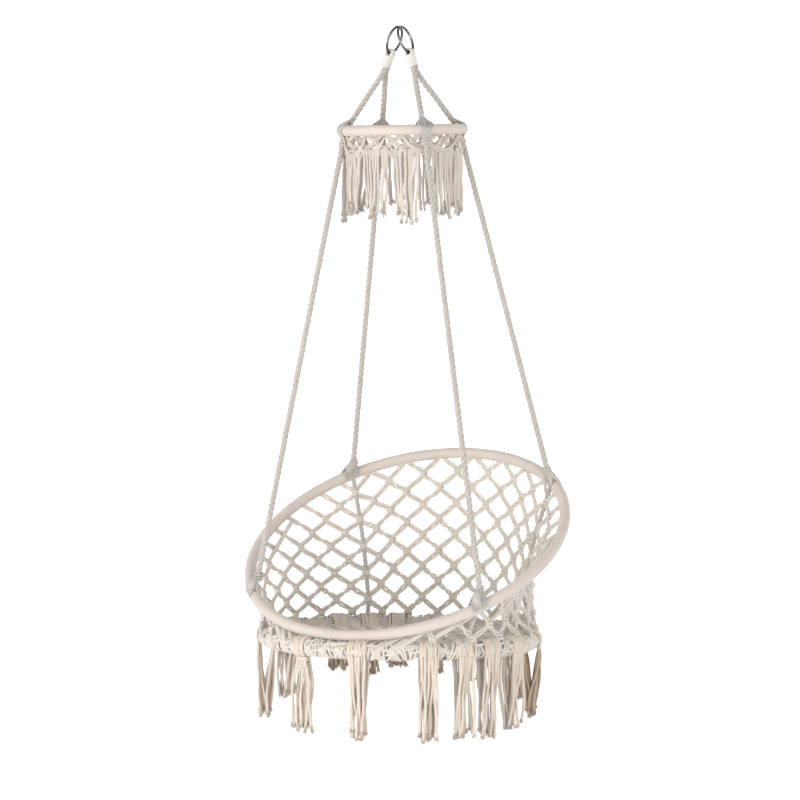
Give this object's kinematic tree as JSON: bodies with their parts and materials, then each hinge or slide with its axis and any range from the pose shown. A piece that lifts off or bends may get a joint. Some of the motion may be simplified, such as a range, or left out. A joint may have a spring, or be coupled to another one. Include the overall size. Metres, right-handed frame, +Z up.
{
  "type": "hanging nest swing",
  "caption": "Macrame nest swing: two steel rings, four ropes over a spreader hoop, a tilted back hoop, a netted wall and round netted seat, with tassels and fringe.",
  "frame": {"origin": "where a hook bears on the inside top of the two suspension rings, midway between them", "axes": "+Z up; the sitter faces -Y; +X to the sitter's left"},
  "size_m": [0.799, 0.7327, 1.6576],
  "materials": {
    "ring_steel": "dark polished steel, lightly worn",
    "hoop_steel": "plain steel tube, hidden under the cord wrap",
    "cotton_rope": "three-strand twisted natural cotton rope",
    "cotton_wrap": "natural cotton cord wound tightly round the tube",
    "cotton_net": "knotted natural cotton cord",
    "cotton_tassel": "loose frayed natural cotton cord"
  },
  "bodies": {
    "rings": {"ring_left": "ring_steel", "ring_right": "ring_steel"},
    "harness": {"rope_eye_left": "cotton_rope", "rope_eye_right": "cotton_rope", "binding_left": "cotton_rope", "binding_right": "cotton_rope", "upper_rope_front_left": "cotton_rope", "upper_rope_back_left": "cotton_rope", "upper_rope_front_right": "cotton_rope", "upper_rope_back_right": "cotton_rope", "main_rope_front_left": "cotton_rope", "main_rope_back_left": "cotton_rope", "main_rope_front_right": "cotton_rope", "main_rope_back_right": "cotton_rope", "lower_rope_front_left": "cotton_rope", "lower_rope_back_left": "cotton_rope", "lower_rope_front_right": "cotton_rope", "lower_rope_back_right": "cotton_rope", "spreader_hoop_steel": "hoop_steel", "spreader_hoop_wrap": "cotton_wrap", "spreader_knots": "cotton_rope", "spreader_net": "cotton_net", "back_hoop_steel": "hoop_steel", "back_hoop_wrap": "cotton_wrap", "back_knots": "cotton_rope", "net_left": "cotton_net", "net_right": "cotton_net", "net_back": "cotton_net", "net_front": "cotton_net", "front_lacing": "cotton_net"},
    "seat": {"seat_hoop_steel": "hoop_steel", "seat_hoop_wrap": "cotton_wrap", "seat_net": "cotton_net"},
    "tassel_01": {"tassel_01": "cotton_tassel"},
    "tassel_02": {"tassel_02": "cotton_tassel"},
    "tassel_03": {"tassel_03": "cotton_tassel"},
    "tassel_04": {"tassel_04": "cotton_tassel"},
    "tassel_05": {"tassel_05": "cotton_tassel"},
    "tassel_06": {"tassel_06": "cotton_tassel"},
    "tassel_07": {"tassel_07": "cotton_tassel"},
    "tassel_08": {"tassel_08": "cotton_tassel"},
    "tassel_09": {"tassel_09": "cotton_tassel"},
    "tassel_10": {"tassel_10": "cotton_tassel"},
    "tassel_11": {"tassel_11": "cotton_tassel"},
    "tassel_12": {"tassel_12": "cotton_tassel"},
    "tassel_13": {"tassel_13": "cotton_tassel"},
    "tassel_14": {"tassel_14": "cotton_tassel"},
    "tassel_15": {"tassel_15": "cotton_tassel"},
    "fringe_01": {"fringe_01": "cotton_tassel"},
    "fringe_02": {"fringe_02": "cotton_tassel"},
    "fringe_03": {"fringe_03": "cotton_tassel"},
    "fringe_04": {"fringe_04": "cotton_tassel"},
    "fringe_05": {"fringe_05": "cotton_tassel"},
    "fringe_06": {"fringe_06": "cotton_tassel"},
    "fringe_07": {"fringe_07": "cotton_tassel"},
    "fringe_08": {"fringe_08": "cotton_tassel"},
    "fringe_09": {"fringe_09": "cotton_tassel"},
    "fringe_10": {"fringe_10": "cotton_tassel"}
  },
  "joints": [
    {"name": "swing_fore_aft", "type": "hinge", "parent": "rings", "child": "harness", "pos_m": [0, 0, -0.02688], "axis": [1, 0, 0], "range_deg": [-20, 20]},
    {"name": "seat_fold", "type": "hinge", "parent": "harness", "child": "seat", "pos_m": [0, -0.31986, -1.43363], "axis": [1, 0, 0], "range_deg": [0, 16], "deforming": ["net_front", "front_lacing", "net_back", "net_left", "net_right", "lower_rope_front_left", "lower_rope_back_left", "lower_rope_front_right", "lower_rope_back_right"]},
    {"name": "tassel_01_swing", "type": "hinge", "parent": "seat", "child": "tassel_01", "pos_m": [0.05813, -0.31447, -1.43379], "axis": [0.9829, 0.184, 0], "range_deg": [-18, 18]},
    {"name": "tassel_02_swing", "type": "hinge", "parent": "seat", "child": "tassel_02", "pos_m": [0.20143, -0.24738, -1.43578], "axis": [0.7705, 0.6374, 0], "range_deg": [-18, 18]},
    {"name": "tassel_03_swing", "type": "hinge", "parent": "seat", "child": "tassel_03", "pos_m": [0.25948, -0.18427, -1.43765], "axis": [0.5707, 0.8211, 0], "range_deg": [-18, 18]},
    {"name": "tassel_04_swing", "type": "hinge", "parent": "seat", "child": "tassel_04", "pos_m": [0.29216, -0.12437, -1.43943], "axis": [0.3811, 0.9245, 0], "range_deg": [-18, 18]},
    {"name": "tassel_05_swing", "type": "hinge", "parent": "seat", "child": "tassel_05", "pos_m": [0.31403, -0.03921, -1.44196], "axis": [0.1115, 0.9938, 0], "range_deg": [-18, 18]},
    {"name": "tassel_06_swing", "type": "hinge", "parent": "seat", "child": "tassel_06", "pos_m": [0.29579, 0.10713, -1.4463], "axis": [-0.3518, 0.9361, 0], "range_deg": [-18, 18]},
    {"name": "tassel_07_swing", "type": "hinge", "parent": "seat", "child": "tassel_07", "pos_m": [0.19193, 0.24692, -1.45045], "axis": [-0.7944, 0.6074, 0], "range_deg": [-18, 18]},
    {"name": "tassel_08_swing", "type": "hinge", "parent": "seat", "child": "tassel_08", "pos_m": [0.02974, 0.31046, -1.45233], "axis": [-0.9956, 0.0941, 0], "range_deg": [-18, 18]},
    {"name": "tassel_09_swing", "type": "hinge", "parent": "seat", "child": "tassel_09", "pos_m": [-0.06084, 0.30595, -1.4522], "axis": [-0.9813, -0.1925, 0], "range_deg": [-18, 18]},
    {"name": "tassel_10_swing", "type": "hinge", "parent": "seat", "child": "tassel_10", "pos_m": [-0.15127, 0.27332, -1.45123], "axis": [-0.878, -0.4787, 0], "range_deg": [-18, 18]},
    {"name": "tassel_11_swing", "type": "hinge", "parent": "seat", "child": "tassel_11", "pos_m": [-0.20897, 0.23293, -1.45003], "axis": [-0.7501, -0.6613, 0], "range_deg": [-18, 18]},
    {"name": "tassel_12_swing", "type": "hinge", "parent": "seat", "child": "tassel_12", "pos_m": [-0.26381, 0.16988, -1.44816], "axis": [-0.5505, -0.8348, 0], "range_deg": [-18, 18]},
    {"name": "tassel_13_swing", "type": "hinge", "parent": "seat", "child": "tassel_13", "pos_m": [-0.31531, 0.01693, -1.44362], "axis": [-0.0663, -0.9978, 0], "range_deg": [-18, 18]},
    {"name": "tassel_14_swing", "type": "hinge", "parent": "seat", "child": "tassel_14", "pos_m": [-0.28004, -0.15034, -1.43866], "axis": [0.4633, -0.8862, 0], "range_deg": [-18, 18]},
    {"name": "tassel_15_swing", "type": "hinge", "parent": "seat", "child": "tassel_15", "pos_m": [-0.09186, -0.30622, -1.43403], "axis": [0.9568, -0.2907, 0], "range_deg": [-18, 18]},
    {"name": "fringe_01_swing", "type": "hinge", "parent": "harness", "child": "fringe_01", "pos_m": [0, -0.12378, -0.30491], "axis": [1, 0, 0], "range_deg": [-15, 15]},
    {"name": "fringe_02_swing", "type": "hinge", "parent": "harness", "child": "fringe_02", "pos_m": [0.07366, -0.10267, -0.30418], "axis": [0.848, 0.5299, 0], "range_deg": [-15, 15]},
    {"name": "fringe_03_swing", "type": "hinge", "parent": "harness", "child": "fringe_03", "pos_m": [0.1322, -0.02779, -0.30156], "axis": [0.309, 0.9511, 0], "range_deg": [-15, 15]},
    {"name": "fringe_04_swing", "type": "hinge", "parent": "harness", "child": "fringe_04", "pos_m": [0.13426, 0.05109, -0.29881], "axis": [-0.2588, 0.9659, 0], "range_deg": [-15, 15]},
    {"name": "fringe_05_swing", "type": "hinge", "parent": "harness", "child": "fringe_05", "pos_m": [0.0695, 0.13544, -0.29586], "axis": [-0.866, 0.5, 0], "range_deg": [-15, 15]},
    {"name": "fringe_06_swing", "type": "hinge", "parent": "harness", "child": "fringe_06", "pos_m": [0, 0.15405, -0.29521], "axis": [-1, 0, 0], "range_deg": [-15, 15]},
    {"name": "fringe_07_swing", "type": "hinge", "parent": "harness", "child": "fringe_07", "pos_m": [-0.0695, 0.13544, -0.29586], "axis": [-0.866, -0.5, 0], "range_deg": [-15, 15]},
    {"name": "fringe_08_swing", "type": "hinge", "parent": "harness", "child": "fringe_08", "pos_m": [-0.13426, 0.05109, -0.29881], "axis": [-0.2588, -0.9659, 0], "range_deg": [-15, 15]},
    {"name": "fringe_09_swing", "type": "hinge", "parent": "harness", "child": "fringe_09", "pos_m": [-0.1322, -0.02779, -0.30156], "axis": [0.309, -0.9511, 0], "range_deg": [-15, 15]},
    {"name": "fringe_10_swing", "type": "hinge", "parent": "harness", "child": "fringe_10", "pos_m": [-0.07366, -0.10267, -0.30418], "axis": [0.848, -0.5299, 0], "range_deg": [-15, 15]}
  ]
}
